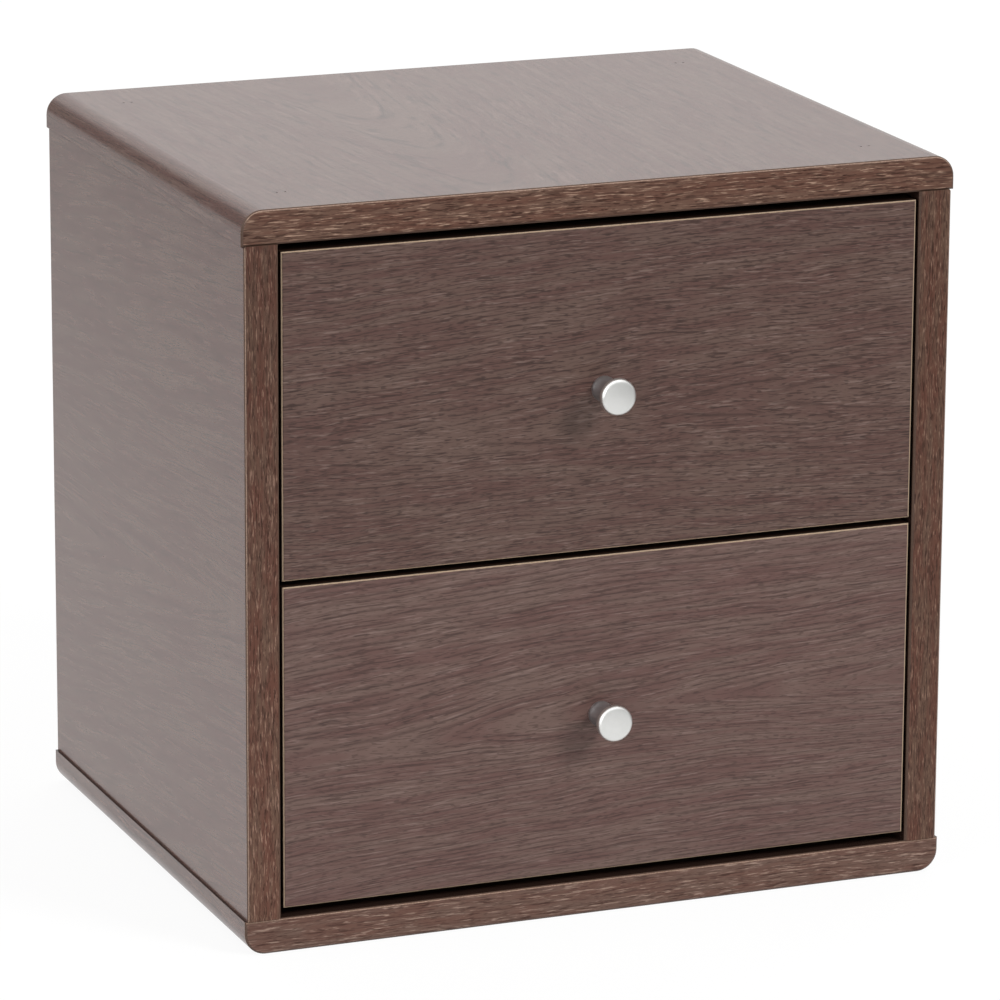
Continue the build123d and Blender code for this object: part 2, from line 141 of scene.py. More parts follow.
def makeStudio():
    scene = bpy.context.scene
    scene.view_settings.view_transform = "Standard"

    world = bpy.data.worlds.new("studioRoom")
    world.use_nodes = True
    world.node_tree.nodes.clear()
    add = partial(addNode, world.node_tree)
    spot = add("ShaderNodeTexCoord")
    way = add("ShaderNodeSeparateXYZ", {}, {0: spot.outputs["Generated"]})
    level = add("ShaderNodeValue")
    level.outputs[0].default_value = studio["behind"]
    for axis, start, full, strength in studio["sides"].values():
        share = add("ShaderNodeMapRange", {
            "interpolation_type": "SMOOTHSTEP", "From Min": start, "From Max": full}, {
            "Value": way.outputs[axis]})
        level = add("ShaderNodeMix", {"B": strength}, {"Factor": share, "A": level})
    path = add("ShaderNodeLightPath")
    level = add("ShaderNodeMix", {"B": 1.0}, {"Factor": path.outputs["Is Camera Ray"], "A": level})
    seen = seenByEye(add, path)
    level = add("ShaderNodeMix", {"A": studio["ambient"]}, {"Factor": seen, "B": level})
    room = add("ShaderNodeBackground", {"Color": (1, 1, 1, 1)}, {"Strength": level})
    add("ShaderNodeOutputWorld", {}, {"Surface": room})
    world.cycles.sampling_method = "NONE"  # mirrored and matt light see different rooms
    scene.world = world

    size = studio["floorSize"] / 2
    drop = -studio["floorDrop"] * mm
    mesh = bpy.data.meshes.new("studioFloor")
    corners = [(-size, -size, drop), (size, -size, drop), (size, size, drop), (-size, size, drop)]
    mesh.from_pydata(corners, [], [(0, 1, 2, 3)])
    floor = bpy.data.objects.new("studioFloor", mesh)
    scene.collection.objects.link(floor)
    material, add = startMaterial("whiteSheet")
    spot = add("ShaderNodeTexCoord")
    spot = add("ShaderNodeSeparateXYZ", {}, {0: spot.outputs["Object"]})
    reach = add("ShaderNodeMath", {"operation": "ABSOLUTE"}, {0: spot.outputs["X"]})
    fade = add("ShaderNodeMapRange", {
        "interpolation_type": "SMOOTHSTEP", "From Min": studio["sheetFrom"], "From Max": studio["sheetTo"],
        "To Min": 1.0, "To Max": studio["sheetEnd"]}, {"Value": reach})
    far = add("ShaderNodeMapRange", {
        "interpolation_type": "SMOOTHSTEP", "From Min": studio["farFrom"], "From Max": studio["farTo"]}, {
        "Value": spot.outputs["Y"]})
    fade = add("ShaderNodeMix", {"B": studio["farEnd"]}, {"Factor": far, "A": fade})
    path = add("ShaderNodeLightPath")
    fade = add("ShaderNodeMix", {"B": 1.0}, {"Factor": path.outputs["Is Camera Ray"], "A": fade})
    glow = studio["floorGlow"]
    shadeColour = add("ShaderNodeVectorMath", {"operation": "SCALE", 0: (1 - glow,) * 3}, {"Scale": fade})
    shade = add("ShaderNodeBsdfDiffuse", {}, {"Color": shadeColour})
    strength = add("ShaderNodeMath", {"operation": "MULTIPLY", 1: glow}, {0: fade})
    light = add("ShaderNodeEmission", {"Color": (1, 1, 1, 1)}, {"Strength": strength})
    white = add("ShaderNodeAddShader", {}, {0: shade, 1: light})
    mattColour = add("ShaderNodeVectorMath", {
        "operation": "SCALE", 0: linear(studio["floorColour"])[:3]}, {"Scale": fade})
    matt = add("ShaderNodeBsdfDiffuse", {}, {"Color": mattColour})
    surface = add("ShaderNodeMixShader", {}, {0: seenByEye(add, path), 1: matt, 2: white})
    add("ShaderNodeOutputMaterial", {}, {"Surface": surface})
    mesh.materials.append(material)

    for name, lamp in studio["lamps"].items():
        data = bpy.data.lights.new(name, "SUN")
        data.energy = lamp["power"]
        data.angle = math.radians(lamp["spread"])
        light = bpy.data.objects.new(name, data)
        light.rotation_euler = Vector(lamp["from"]).to_track_quat("Z", "Y").to_euler()
        # Satin boards would glare where they mirror a narrow lamp
        light.visible_glossy = lamp.get("mirrored", True)
        scene.collection.objects.link(light)


def seenByEye(add, path):
    # 1 for what the eye sees straight, in a mirror or through glass, 0 for light on matt surfaces
    seen = add("ShaderNodeMath", {"operation": "ADD"}, {
        0: path.outputs["Is Camera Ray"], 1: path.outputs["Is Glossy Ray"]})
    return add("ShaderNodeMath", {"operation": "ADD", "use_clamp": True}, {
        0: seen, 1: path.outputs["Is Transmission Ray"]})


makeCamera()
makeStudio()
print("camera, floor and lamps set")

# How a board lies: rows give the way along its grain, across it and through it
boardLies = {
    "flat": Matrix(((0, 1, 0), (-1, 0, 0), (0, 0, 1))),
    "facing": Matrix(((1, 0, 0), (0, 0, 1), (0, -1, 0))),
    "sideways": Matrix(((0, 1, 0), (0, 0, 1), (1, 0, 0))),
    "upright": Matrix(((0, 0, 1), (1, 0, 0), (0, 1, 0))),
}


def boardSpace(add, board):
    # Millimetres along, across and through the board, from its middle
    spot = add("ShaderNodeTexCoord")
    turn = boardLies[board["lies"]]
    return add("ShaderNodeMapping", {
        "Location": -(turn @ (board["middle"] / mm)), "Rotation": turn.to_euler(),
        "Scale": (1 / mm, 1 / mm, 1 / mm)}, {"Vector": spot.outputs["Object"]})


seedWay = (1.0, 1.7, 2.3)  # where a seed moves the noise to


def lumps(add, place, size, seed, detail=0.0, roughness=0.5):
    # Noise from 0 to 1 whose lumps have the given lengths in millimetres
    scaled = add("ShaderNodeVectorMath", {
        "operation": "MULTIPLY_ADD", 1: [1 / s for s in size], 2: [step * seed for step in seedWay]}, {
        0: place})
    return add("ShaderNodeTexNoise", {
        "Scale": 1.0, "Detail": detail, "Roughness": roughness}, {"Vector": scaled})


# Pith of the log that a board is cut from: where it runs and how far below the face, in millimetres
plainPith = {
    "height": 0,
    "tilt": 0,
    "bow": 0,
    "depth": 40,
    "taper": 0,  # how fast the log thins, from where along the board, and how far to either side
    "start": -500,
    "reach": 400,
    "squeeze": 1,  # how much closer the rings lie below the pith
}

# How the grain lies on any board
grainLay = {
    "edgeReach": 60.0,  # mm across, over which the figure turns to go on round both edges
    "depthShare": 0.35,  # how much the noise changes across the board besides with the rings
    "swaySeedStep": 3.7,
    "layerSeedStep": 5.3,
    "roughness": 0.6,
    "driftReach": 150.0,  # mm to either end, over which the tone drifts
    "poreGroove": 0.6,  # how deep the pores are beside the lines
}


def grainPattern(add, board, look):
    # Rings of a tapering log cut by the board: equal distances from its pith give the long arches
    place = boardSpace(add, board)
    parts = add("ShaderNodeSeparateXYZ", {}, {0: place})
    along, across, through = (parts.outputs[axis] for axis in "XYZ")
    edge = add("ShaderNodeMapRange", {
        "From Min": -grainLay["edgeReach"], "From Max": grainLay["edgeReach"],
        "To Min": 1.0, "To Max": -1.0}, {"Value": across})
    across = add("ShaderNodeMath", {"operation": "MULTIPLY_ADD"}, {0: edge, 1: through, 2: across})
    seed = board["seed"]
    for length, width, reach in look["sways"]:
        noise = lumps(add, place, (length, width, length), seed)
        sway = add("ShaderNodeMath", {"operation": "MULTIPLY_ADD", 1: 2 * reach, 2: -reach}, {0: noise})
        across = add("ShaderNodeMath", {"operation": "ADD"}, {0: across, 1: sway})
        seed += grainLay["swaySeedStep"]

    pith = dict(plainPith, **board["pith"])
    lean = add("ShaderNodeMath", {
        "operation": "MULTIPLY_ADD", 1: pith["bow"], 2: -pith["tilt"]}, {0: along})
    height = add("ShaderNodeMath", {"operation": "MULTIPLY_ADD"}, {0: lean, 1: along, 2: across})
    height = add("ShaderNodeMath", {"operation": "SUBTRACT", 1: pith["height"]}, {0: height})
    lower = add("ShaderNodeMath", {"operation": "MULTIPLY", 1: -pith["squeeze"]}, {0: height})
    height = add("ShaderNodeMath", {"operation": "MAXIMUM"}, {0: height, 1: lower})
    corner = add("ShaderNodeCombineXYZ", {"Y": pith["depth"]}, {"X": height})
    ring = add("ShaderNodeVectorMath", {"operation": "LENGTH"}, {0: corner}).outputs["Value"]
    steep = add("ShaderNodeMapRange", {
        "interpolation_type": "SMOOTHSTEP", "From Max": look["calmReach"], "To Min": look["calm"]}, {
        "Value": height})
    taper = add("ShaderNodeMapRange", {
        "interpolation_type": "SMOOTHSTEP", "From Max": pith["reach"],
        "To Min": -pith["taper"], "To Max": 0.0}, {"Value": height})
    opened = add("ShaderNodeMath", {"operation": "SUBTRACT", 1: pith["start"]}, {0: along})
    opened = add("ShaderNodeMath", {"operation": "MAXIMUM", 1: 0.0}, {0: opened})
    ring = add("ShaderNodeMath", {"operation": "MULTIPLY_ADD"}, {0: taper, 1: opened, 2: ring})
    deep = add("ShaderNodeMath", {"operation": "MULTIPLY", 1: grainLay["depthShare"]}, {0: across})
    flow = add("ShaderNodeCombineXYZ", {}, {"X": along, "Y": ring, "Z": deep})
    straight = add("ShaderNodeCombineXYZ", {}, {"X": along, "Y": across})

    layers = {}
    for name, (follows, length, width, detail) in look["layers"].items():
        source = {"rings": flow, "grain": straight}[follows]
        seed += grainLay["layerSeedStep"]
        layers[name] = lumps(add, source, (length, width, length), seed, detail, grainLay["roughness"])

    masks = {}
    for name, (source, start, full) in look["masks"].items():
        masks[name] = add("ShaderNodeMapRange", {
            "interpolation_type": "SMOOTHSTEP", "From Min": start, "From Max": full}, {
            "Value": layers[source]})
    count = add("ShaderNodeMath", {
        "operation": "MULTIPLY_ADD", 1: 1 / look["ringWidth"]}, {0: ring, 2: layers["shift"]})
    phase = add("ShaderNodeMath", {"operation": "FRACT"}, {0: count})
    rise = add("ShaderNodeMapRange", {
        "interpolation_type": "SMOOTHSTEP", "From Max": look["lineRise"]}, {"Value": phase})
    fall = add("ShaderNodeMapRange", {
        "interpolation_type": "SMOOTHSTEP", "From Min": look["lineRise"], "From Max": look["lineFall"],
        "To Min": 1.0, "To Max": 0.0}, {"Value": phase})
    line = add("ShaderNodeMath", {"operation": "MULTIPLY"}, {0: rise, 1: fall})
    masks["line"] = add("ShaderNodeMath", {"operation": "MULTIPLY"}, {0: line, 1: masks["breaks"]})
    # Where the rings lie flat in the face, what follows them fades
    fading = [name for name in ("light", "dark") if look["layers"][look["masks"][name][0]][0] == "rings"]
    for name in (*fading, "line"):
        masks[name] = add("ShaderNodeMath", {"operation": "MULTIPLY"}, {0: masks[name], 1: steep})
    masks["place"] = place
    return masks


def grainColour(add, masks, look, contrast, tones):
    # Two base tones in long patches, paler fibres, then the dark streaks, ring lines and pores over them
    colour = add("ShaderNodeMix", {
        "data_type": "RGBA", "A": linear(look["warm"]), "B": linear(look["cool"])}, {
        "Factor": masks["patch"]})
    for mask, share, hexText in look["tints"]:
        amount = add("ShaderNodeMath", {"operation": "MULTIPLY", 1: share * contrast}, {0: masks[mask]})
        colour = add("ShaderNodeMix", {"data_type": "RGBA", "B": linear(hexText)}, {
            "Factor": amount, "A": colour})
    drift = add("ShaderNodeSeparateXYZ", {}, {0: masks["place"]})
    drift = add("ShaderNodeMapRange", {
        "From Min": -grainLay["driftReach"], "From Max": grainLay["driftReach"]}, {
        "Value": drift.outputs["X"]})
    tone = add("ShaderNodeMix", {"data_type": "VECTOR", "A": tones[0], "B": tones[-1]}, {"Factor": drift})
    return add("ShaderNodeVectorMath", {"operation": "MULTIPLY"}, {0: colour, 1: tone})


# How a cut shows on any board
cutLay = {
    "edge": 0.02,  # mm to either side, where one layer gives way to the next
    "tear": 2.5,  # mm, the lumps of a ragged edge
    "turnFrom": 0.3,  # how squarely a side faces the way of its cut before it shows, and shows in full
    "turnTo": 0.5,
    "shadeFrom": 0.25,  # the span of the noise that goes from the pale tone to the dark
    "shadeTo": 0.75,
    "chipShare": 0.5,  # chips beside grit
}


def cutColour(add, colour, masks, board):
    # Past each depth below the faced side another layer of the board shows, with a ragged edge
    spot = add("ShaderNodeTexCoord")
    below = add("ShaderNodeVectorMath", {"operation": "SUBTRACT", 1: board["facedAt"]}, {
        0: spot.outputs["Object"]})
    depth = add("ShaderNodeVectorMath", {
        "operation": "DOT_PRODUCT", 1: Vector(board["inward"]) / mm}, {0: below})
    depth = depth.outputs["Value"]
    for cut in board["cuts"]:
        start, ragged = cut["start"], cut.get("ragged", 0.0)
        torn = lumps(add, masks["place"], (cutLay["tear"],) * 3, board["seed"], detail=2.0)
        edge = add("ShaderNodeMath", {"operation": "MULTIPLY_ADD", 1: 2 * ragged, 2: -ragged}, {0: torn})
        edge = add("ShaderNodeMath", {"operation": "ADD"}, {0: edge, 1: depth})
        past = add("ShaderNodeMapRange", {
            "From Min": start - cutLay["edge"], "From Max": start + cutLay["edge"]}, {"Value": edge})
        if "faces" in cut:
            facing = add("ShaderNodeVectorMath", {"operation": "DOT_PRODUCT", 1: cut["faces"]}, {
                0: spot.outputs["Normal"]})
            side = add("ShaderNodeMapRange", {
                "From Min": cutLay["turnFrom"], "From Max": cutLay["turnTo"]}, {
                "Value": facing.outputs["Value"]})
            past = add("ShaderNodeMath", {"operation": "MULTIPLY"}, {0: past, 1: side})
        shade = lumps(add, masks["place"], (cut["grit"],) * 3, board["seed"], detail=4.0, roughness=0.65)
        if "chips" in cut:
            chips = add("ShaderNodeVectorMath", {
                "operation": "MULTIPLY", 1: [1 / s for s in cut["chips"]]}, {0: masks["place"]})
            chips = add("ShaderNodeTexVoronoi", {"Scale": 1.0}, {"Vector": chips})
            chips = add("ShaderNodeSeparateXYZ", {}, {0: chips.outputs["Color"]})
            shade = add("ShaderNodeMix", {"Factor": cutLay["chipShare"]}, {
                "A": shade, "B": chips.outputs["X"]})
        shade = add("ShaderNodeMapRange", {
            "From Min": cutLay["shadeFrom"], "From Max": cutLay["shadeTo"]}, {"Value": shade})
        core = add("ShaderNodeMix", {
            "data_type": "RGBA", "A": linear(cut["pale"]), "B": linear(cut["dark"])}, {"Factor": shade})
        colour = add("ShaderNodeMix", {"data_type": "RGBA"}, {"Factor": past, "A": colour, "B": core})
    return colour


# Pairs of pricks near the corners of the top, each drawn with a dark spot round it
pricks = {
    "endInset": 30.25,  # mm in from the ends and the edges of the board to the middle of a pair
    "edgeInset": 32.5,
    "pitch": 4.0,
    "darkSpotRadius": 0.9,
    "fade": 0.2,  # share of that radius
    # colour of the dark spot round each prick
    "torn": "#3E2823",
}


def prickStain(add, colour, board):
    # Folds the board over twice in its length and its width, so that one spot stands for all of them
    marks = board["pricks"]
    spot = add("ShaderNodeTexCoord")
    spot = add("ShaderNodeVectorMath", {"operation": "SUBTRACT", 1: board["middle"]}, {
        0: spot.outputs["Object"]})
    corner = board["reach"] / mm - Vector((marks["endInset"], marks["edgeInset"], 0))
    for scale, away in ((1 / mm, corner), (1.0, Vector((marks["pitch"] / 2, 0, 0)))):
        spot = add("ShaderNodeVectorMath", {"operation": "SCALE", "Scale": scale}, {0: spot})
        spot = add("ShaderNodeVectorMath", {"operation": "ABSOLUTE"}, {0: spot})
        spot = add("ShaderNodeVectorMath", {"operation": "SUBTRACT", 1: away}, {0: spot})
    flat = add("ShaderNodeVectorMath", {"operation": "MULTIPLY", 1: (1, 1, 0)}, {0: spot})
    away = add("ShaderNodeVectorMath", {"operation": "LENGTH"}, {0: flat}).outputs["Value"]
    torn = add("ShaderNodeMapRange", {
        "interpolation_type": "SMOOTHSTEP", "From Min": (1 + marks["fade"]) * marks["darkSpotRadius"],
        "From Max": (1 - marks["fade"]) * marks["darkSpotRadius"]}, {"Value": away})
    return add("ShaderNodeMix", {"data_type": "RGBA", "B": linear(marks["torn"])}, {
        "Factor": torn, "A": colour})


def boardMaterial(node, board):
    look = board["look"]
    material, add = startMaterial(look["finish"] + "_" + node)
    masks = grainPattern(add, board, look)
    contrast = board.get("contrast", 1.0)
    colour = grainColour(add, masks, look, contrast, board.get("tones", [(1, 1, 1)]))
    if "pricks" in board:
        colour = prickStain(add, colour, board)
    if "cuts" in board:
        colour = cutColour(add, colour, masks, board)
    groove = add("ShaderNodeMath", {"operation": "MULTIPLY_ADD", 1: grainLay["poreGroove"]}, {
        0: masks["pore"], 2: masks["line"]})
    bump = add("ShaderNodeBump", {
        "invert": True, "Strength": look["bump"] * contrast, "Distance": look["grooveDepth"] * mm}, {
        "Height": groove})
    shader = add("ShaderNodeBsdfPrincipled", {
        "Roughness": look["roughness"], "IOR": 1.5, "Specular IOR Level": look["shine"]}, {
        "Base Color": colour, "Normal": bump})
    add("ShaderNodeOutputMaterial", {}, {"Surface": shader})
    return material


# Printed oak-grain foil: satin, embossed, grey-brown; goes pale at a low angle as the satin mirrors the room
foil = {
    "finish": "oakFoil",
    "sways": [(120, 60, 4.0), (30, 14, 0.9), (8, 4, 0.15)],  # mm along, mm across, how far the grain sways
    "calm": 0.2,  # share of the lines left where the rings lie flat
    "calmReach": 6.0,  # mm from there to the full lines
    "layers": {  # follows, mm along and across, detail
        "shift": ("rings", 160, 9, 0.0),
        "breaks": ("rings", 16, 2.5, 1.0),
        "streak": ("rings", 22, 2.0, 2.5),
        "fibre": ("rings", 20, 1.8, 2.5),
        "patch": ("rings", 60, 7, 2.0),
        "pore": ("grain", 4, 0.5, 0.0),
    },
    "masks": {  # layer, where it begins, where it is full
        "breaks": ("breaks", 0.38, 0.52),
        "light": ("fibre", 0.54, 0.68),
        "dark": ("streak", 0.45, 0.34),
        "patch": ("patch", 0.35, 0.65),
        "pore": ("pore", 0.6, 0.7),
    },
    "ringWidth": 6.0,
    "lineRise": 0.05,  # shares of a ring, where its line is darkest and where it ends
    "lineFall": 0.17,
    "warm": "#593E38",
    "cool": "#604941",
    "tints": [  # mask, share, colour
        ("light", 0.6, "#765E56"),
        ("dark", 0.85, "#402D27"),
        ("line", 0.8, "#37251F"),
        ("pore", 0.5, "#3A2922"),
    ],
    "bump": 0.12,
    "grooveDepth": 0.05,
    "roughness": 0.25,
    "shine": 0.5,
}

# The upper front, struck deeper and duller than the case: short dashes that follow the grain
frontFoil = dict(
    foil,
    layers=dict(
        foil["layers"],
        streak=("grain", 10, 0.75, 2.5),
        fibre=("grain", 12, 0.75, 2.5),
        breaks=("rings", 14, 2.0, 1.0),
    ),
    ringWidth=2.3,
    lineRise=0.12,
    lineFall=0.42,
    warm="#5C423C",
    cool="#644E46",
    tints=[
        ("light", 0.75, "#7C665E"),
        ("dark", 0.9, "#3E2C27"),
        ("line", 0.65, "#3E2C27"),
        ("pore", 0.6, "#3A2A25"),
    ],
    bump=0.35,
    roughness=0.35,
    shine=0.25,
)

# The lower front, the same foil cut through the arches: longer lines, set wider
archFoil = dict(
    frontFoil,
    layers=dict(
        foil["layers"],
        shift=("rings", 90, 7, 1.0),
        streak=("rings", 16, 0.9, 2.5),
        fibre=("rings", 17, 0.9, 2.5),
        breaks=("rings", 30, 2.2, 1.0),
    ),
    masks=dict(foil["masks"], breaks=("breaks", 0.34, 0.6)),
    ringWidth=3.0,
    lineRise=0.2,
    lineFall=0.66,
    tints=[
        ("light", 0.6, "#7A645C"),
        ("dark", 0.75, "#3E2C27"),
        ("line", 0.65, "#3F2D28"),
        ("pore", 0.5, "#3A2A25"),
    ],
)

# Stained oak veneer on the front edges: matt and coarse, light and dark flecks that run lengthwise
veneer = dict(
    foil,
    finish="oakVeneer",
    sways=[(60, 30, 1.5), (14, 6, 0.3), (5, 2, 0.05)],
    calm=1.0,
    layers={
        "shift": ("grain", 80, 6, 0.0),
        "breaks": ("grain", 18, 1.5, 2.0),
        "streak": ("grain", 6.5, 0.75, 3.0),
        "fibre": ("grain", 5.5, 0.65, 3.0),
        "patch": ("grain", 35, 5, 2.0),
        "pore": ("grain", 5, 0.7, 0.0),
    },
    ringWidth=2.6,
    lineRise=0.1,
    lineFall=0.45,
    warm="#5A3A2F",
    cool="#5C4539",
    tints=[
        ("light", 0.85, "#8E7162"),
        ("dark", 0.95, "#331C14"),
        ("line", 0.3, "#351D15"),
        ("pore", 0.5, "#2F1A13"),
    ],
    bump=0.4,
    roughness=0.5,
    shine=0.2,
)

# The same veneer from greyer leaves, on the top and bottom edges
greyVeneer = dict(
    veneer,
    layers=dict(veneer["layers"], streak=("grain", 10, 0.85, 3.0), fibre=("grain", 9, 0.75, 3.0)),
    warm="#5E4137",
    cool="#61493F",
    tints=[
        ("light", 0.9, "#9A7F70"),
        ("dark", 0.95, "#331B13"),
        ("line", 0.5, "#38211A"),
        ("pore", 0.5, "#321E17"),
    ],
)

# Pale printed paper on the drawer boards: even, matt, a faint grain
paper = dict(
    foil,
    finish="printedPaper",
    warm="#B2A696",
    cool="#ABA092",
    tints=[
        ("light", 0.5, "#C2B7A8"),
        ("dark", 0.45, "#958879"),
        ("line", 0.45, "#908272"),
        ("pore", 0.35, "#8A7D6E"),
    ],
    bump=0.15,
    roughness=0.45,
)

# Planed softwood of the runner strips: yellow, with clear growth rings
softwood = dict(
    foil,
    finish="planedSoftwood",
    ringWidth=3.2,
    lineRise=0.5,
    lineFall=0.95,
    calm=1.0,
    warm="#CFAE7C",
    cool="#C6A372",
    tints=[
        ("light", 0.5, "#DCC092"),
        ("dark", 0.35, "#B28A58"),
        ("line", 0.7, "#A97B49"),
        ("pore", 0.2, "#9C7346"),
    ],
    bump=0.3,
    roughness=0.6,
    shine=0.3,
)

# Beech of the dowels: pinkish tan with short dark flecks
beech = dict(
    softwood,
    finish="beech",
    warm="#CDA27A",
    cool="#C69A70",
    tints=[
        ("light", 0.4, "#D9B48D"),
        ("dark", 0.4, "#AE7F55"),
        ("line", 0.2, "#AE7F55"),
        ("pore", 0.6, "#8A5E3C"),
    ],
)

# What the cutter bared: where it starts in mm below the faced side, how ragged that edge is, which way the
# bare side faces if not all ways, its two tones, and the size of its grit and of the chips pressed into it
chipboard = {"pale": "#D2B78E", "dark": "#86683F", "grit": 1.6, "chips": (4.0, 2.6, 1.8)}
hardboardCore = [{"start": 0.1, "pale": "#94724D", "dark": "#795738", "grit": 3.5}]
frontEdge = [
    {"start": 0.3, "ragged": 0.14, "pale": "#B09B84", "dark": "#947F69", "grit": 0.7},
    {"start": 0.0, "faces": (1, 0, 0), "pale": "#B8A48C", "dark": "#A08B74", "grit": 0.7},
    {"start": 0.8, "pale": "#382821", "dark": "#251913", "grit": 0.7},
]


def rawBack(node):
    # The board's whole depth in, so that only its back edge is bare
    low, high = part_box(node)
    return dict(chipboard, start=(high.y - low.y) / mm - cutLay["edge"])


def caseCuts(node, inward):
    # The inner side, however deep, is painted dark as the shade inside the case, and the back edge is raw
    # chipboard
    # painted shade: dark tones on every inward face of the case
    paintedShadeInside = {"start": -1.0, "faces": inward, "pale": "#3A2A24", "dark": "#2D1F1A", "grit": 0.7}
    return [paintedShadeInside, rawBack(node)]


def bandEdge(way):
    # The side of the veneer is stained, and pale where it faces the given way: partly the sanded arris,
    # partly painted light where it faces the lamps
    return [
        {"start": 0.15, "ragged": 0.05, "pale": "#5C483E", "dark": "#48352C", "grit": 0.7},
        # partly painted light: the pale arris shows only on the side that faces the light
        {"start": 0.3, "ragged": 0.2, "faces": way, "pale": "#A98F80", "dark": "#705848", "grit": 0.7},
        {"start": 0.65, "ragged": 0.1, "pale": "#5A463B", "dark": "#453329", "grit": 0.7},
    ]


boards = {
    "top_panel": {
        "lies": "flat", "look": foil, "contrast": 0.8, "pricks": pricks,
        "cuts": caseCuts("top_panel", (0, 0, -1)),
        "pith": {"height": 40, "taper": 0.08, "reach": 200},
    },
    "bottom_panel": {
        "lies": "flat", "look": foil,
        "cuts": caseCuts("bottom_panel", (0, 0, 1)),
        "pith": {"height": -50, "taper": 0.05, "reach": 200},
    },
    "left_side_panel": {
        "lies": "sideways", "look": foil, "contrast": 0.5,
        "cuts": caseCuts("left_side_panel", (1, 0, 0)),
        "pith": {"height": -30, "tilt": -0.1, "taper": 0.1, "reach": 120, "depth": 6},
    },
    "right_side_panel": {
        "lies": "sideways", "look": foil, "contrast": 0.5,
        "cuts": caseCuts("right_side_panel", (-1, 0, 0)),
        "pith": {"height": 20, "taper": 0.15, "start": -120, "reach": 120, "depth": 8},
    },
    # The two fronts' tones are partly their own and partly painted light: the upper front is drawn darker
    # and the lower lighter, as the light fell on them
    "upper_drawer_front": {
        "lies": "facing", "look": frontFoil, "tones": [(0.84, 0.87, 0.88)], "cuts": frontEdge,
        "pith": {"height": -12, "tilt": 0.02, "taper": 0.05, "reach": 150, "depth": 12},
    },
    "lower_drawer_front": {
        "lies": "facing", "look": archFoil, "tones": [(1.02, 1.08, 1.13)], "cuts": frontEdge,
        "pith": {"height": 1, "tilt": 0.04, "bow": 0.00017, "taper": 0.11, "start": -105, "reach": 55,
                 "depth": 3, "squeeze": 1.5},
    },
    "top_edge_band": {
        "lies": "facing", "look": greyVeneer, "contrast": 1.12, "tones": [(0.97, 0.97, 0.92)],
        "cuts": bandEdge((0, 0, 1)), "pith": {"height": -90},
    },
    "bottom_edge_band": {
        "lies": "facing", "look": greyVeneer, "contrast": 0.78, "tones": [(1.04, 1.13, 1.18)],
        "cuts": bandEdge((0, 0, 1)), "pith": {"height": -90},
    },
    "left_edge_band": {
        "lies": "upright", "look": veneer, "tones": [(1.07, 1.08, 1.08), (0.79, 0.78, 0.78)],
        "cuts": bandEdge((-1, 0, 0)), "pith": {"height": -90},
    },
    "right_edge_band": {
        "lies": "upright", "look": veneer, "tones": [(0.88, 0.88, 0.87)],
        "cuts": bandEdge((1, 0, 0)), "pith": {"height": -90},
    },
    "back_panel": {
        "lies": "facing", "look": foil, "contrast": 0.45, "cuts": hardboardCore,
        "pith": {"height": 60, "taper": 0.1, "reach": 150, "depth": 8},
    },
    "carcass_dowels": {"lies": "upright", "look": beech, "pith": {"height": -30}},
}
for level in ("upper", "lower"):
    for side in ("left", "right"):
        boards[f"{level}_{side}_runner"] = {"lies": "sideways", "look": softwood, "pith": {"height": -25}}
        node = f"{level}_drawer_{side}_side"
        boards[node] = {"lies": "sideways", "look": paper, "cuts": [rawBack(node)], "pith": {"height": -60}}
    boards[level + "_drawer_back"] = {"lies": "facing", "look": paper, "pith": {"height": -60}}
    boards[level + "_drawer_bottom"] = {
        "lies": "flat", "look": paper, "inward": (0, 0, -1), "cuts": hardboardCore, "pith": {"height": -60}}
    boards[level + "_drawer_dowels"] = {"lies": "sideways", "look": beech, "pith": {"height": -30}}

firstSeed, seedStep = 3.1, 2.3
for number, (node, board) in enumerate(boards.items()):
    low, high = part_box(node)
    board["seed"] = firstSeed + seedStep * number
    board["middle"] = (low + high) / 2
    board["reach"] = (high - low) / 2
    board.setdefault("inward", (0, 1, 0))  # most boards are faced at the front
    board["facedAt"] = low if sum(board["inward"]) > 0 else high
    cadNodes[node].data.materials[0] = boardMaterial(node, board)
print("boards finished:", len(boards))

# Satin nickel: pale grey metal, soft mirror, with the fine rings that the turning tool left
nickel = {
    "pale": "#E6E6E4",
    "dark": "#DEDEDB",
    "lump": 3.0,
    "ringWidth": 0.5,  # real ones are finer, these can still be drawn
    "bump": 0.08,
    "roughness": (0.36, 0.42),
    "neckRoughness": 0.42,  # the neck is left duller than the head
    # painted shade: the same nickel drawn darker on the neck, where it mirrors the dark front
    "shadedNeckColour": "#BEBFC1",
    "headDepth": 5.5,  # mm from the face back to where the neck begins
    "neckFade": 0.2,
}

# Zinc-plated steel: cool grey, brighter than the die-cast fittings
steel = {
    "pale": "#C9CBCC",
    "dark": "#A9ABAA",
    "lump": 1.2,
    "bump": 0.15,
    "roughness": (0.25, 0.4),
}

# Die-cast zinc: dull, darker, a little grainy
castZinc = {
    "pale": "#A6A8A9",
    "dark": "#868889",
    "lump": 0.9,
    "bump": 0.3,
    "roughness": (0.42, 0.56),
}

# How the skin of any metal lies
metalLay = {
    "cloudSeed": 4.3,
    "speck": 0.4,  # mm
    "speckSeed": 8.1,
    "grooveDepth": 0.02,  # mm
}


